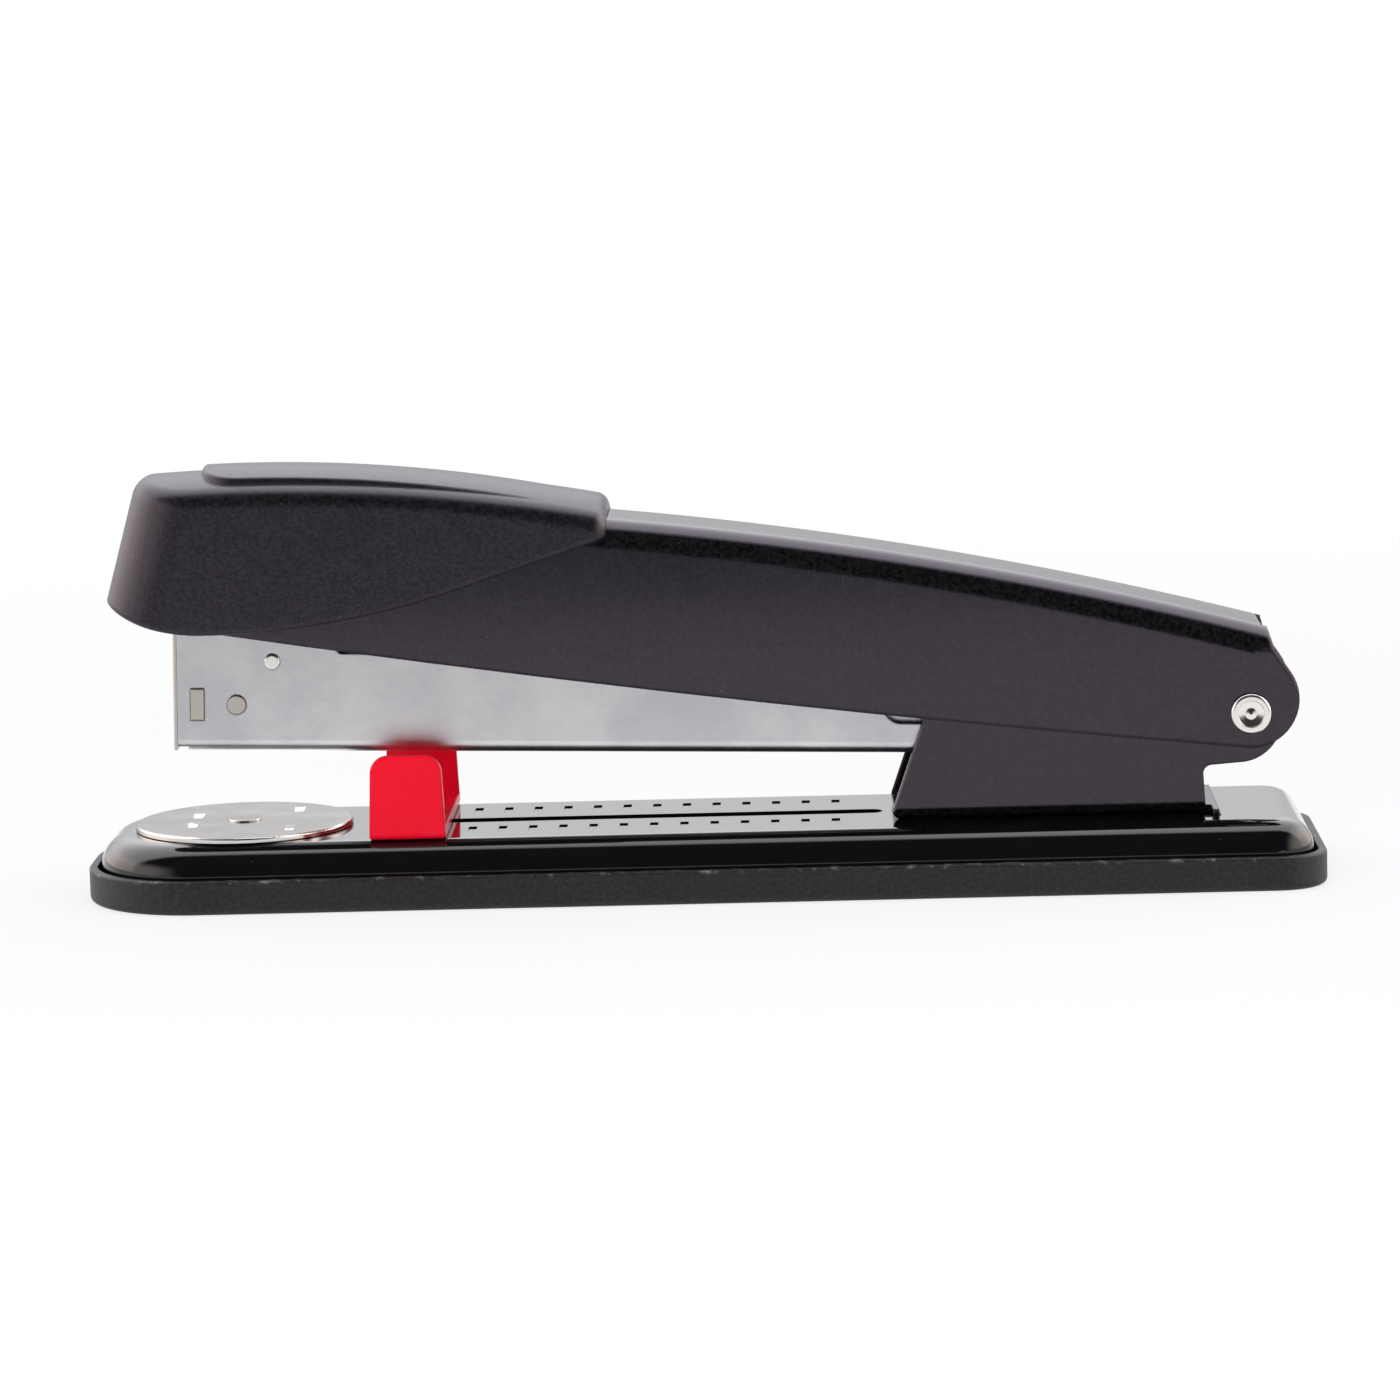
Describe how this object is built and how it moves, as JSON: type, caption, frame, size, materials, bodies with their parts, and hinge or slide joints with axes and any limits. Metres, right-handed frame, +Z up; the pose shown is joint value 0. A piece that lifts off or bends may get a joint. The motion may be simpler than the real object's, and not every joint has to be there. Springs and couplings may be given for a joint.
{
  "type": "desk stapler",
  "caption": "Full-strip desk stapler: a sprung head with staple magazine, pusher and driver, hinged over a base with a turning anvil and a sliding paper stop.",
  "frame": {"origin": "on the table, under the middle of the base", "axes": "+X from the nose to the hinge, +Y across the base, +Z up"},
  "size_m": [0.192, 0.044, 0.0672],
  "materials": {
    "shoe_plastic": "moulded, fine grain",
    "black_enamel": "high gloss",
    "black_paint": "satin",
    "cap_plastic": "moulded, fine grain",
    "red_plastic": "gloss",
    "zinc_steel": "zinc plated",
    "bright_steel": "nickel plated",
    "spring_steel": "oil hardened"
  },
  "bodies": {
    "base": {"base_shoe": "shoe_plastic", "base_plate": "black_enamel", "bracket": "black_paint", "hinge_pin": "bright_steel", "anvil_spring": "spring_steel", "lift_rivet": "bright_steel"},
    "anvil": {"anvil_disc": "bright_steel", "anvil_post": "bright_steel", "anvil_button": "bright_steel"},
    "paper_stop": {"paper_stop": "red_plastic", "stop_retainer": "zinc_steel"},
    "lift_spring": {"lift_spring": "spring_steel"},
    "magazine": {"magazine_case": "zinc_steel", "nose_plate": "zinc_steel", "cross_pin": "bright_steel", "staple_rail": "zinc_steel", "guide_rod": "bright_steel", "pusher_spring": "spring_steel", "return_rivet": "bright_steel"},
    "pusher": {"pusher": "zinc_steel"},
    "return_spring": {"return_spring": "spring_steel"},
    "cover": {"cover": "black_paint", "head_cap": "cap_plastic", "driver_blade": "zinc_steel", "driver_rivets": "bright_steel"}
  },
  "joints": [
    {"name": "anvil_turn", "type": "hinge", "parent": "base", "child": "anvil", "pos_m": [-0.07193, 0, 0.0105], "axis": [0, 0, 1], "continuous": true},
    {"name": "stop_slide", "type": "slide", "parent": "base", "child": "paper_stop", "axis": [1, 0, 0], "range_m": [0, 0.0564]},
    {"name": "nose_press", "type": "hinge", "parent": "base", "child": "lift_spring", "pos_m": [0.08489, 0, 0.0258], "axis": [0, 1, 0], "range_deg": [-4.1, 0], "stiffness_Nm_per_rad": 8, "springref_deg": 1.72, "deforming": ["lift_spring"]},
    {"name": "head_swing", "type": "hinge", "parent": "lift_spring", "child": "magazine", "pos_m": [0.08489, 0, 0.0258], "axis": [0, 1, 0], "range_deg": [0, 105]},
    {"name": "pusher_slide", "type": "slide", "parent": "magazine", "child": "pusher", "axis": [0.9996, 0, -0.0267], "range_m": [0, 0.1], "stiffness_N_per_m": 20, "springref_m": -0.15, "deforming": ["pusher_spring"]},
    {"name": "drive_stroke", "type": "hinge", "parent": "magazine", "child": "return_spring", "pos_m": [0.08489, 0, 0.0258], "axis": [0, 1, 0], "range_deg": [-2.9, 0], "stiffness_Nm_per_rad": 8, "springref_deg": 2.29, "deforming": ["return_spring"]},
    {"name": "cover_lift", "type": "hinge", "parent": "return_spring", "child": "cover", "pos_m": [0.08489, 0, 0.0258], "axis": [0, 1, 0], "range_deg": [0, 65]}
  ]
}
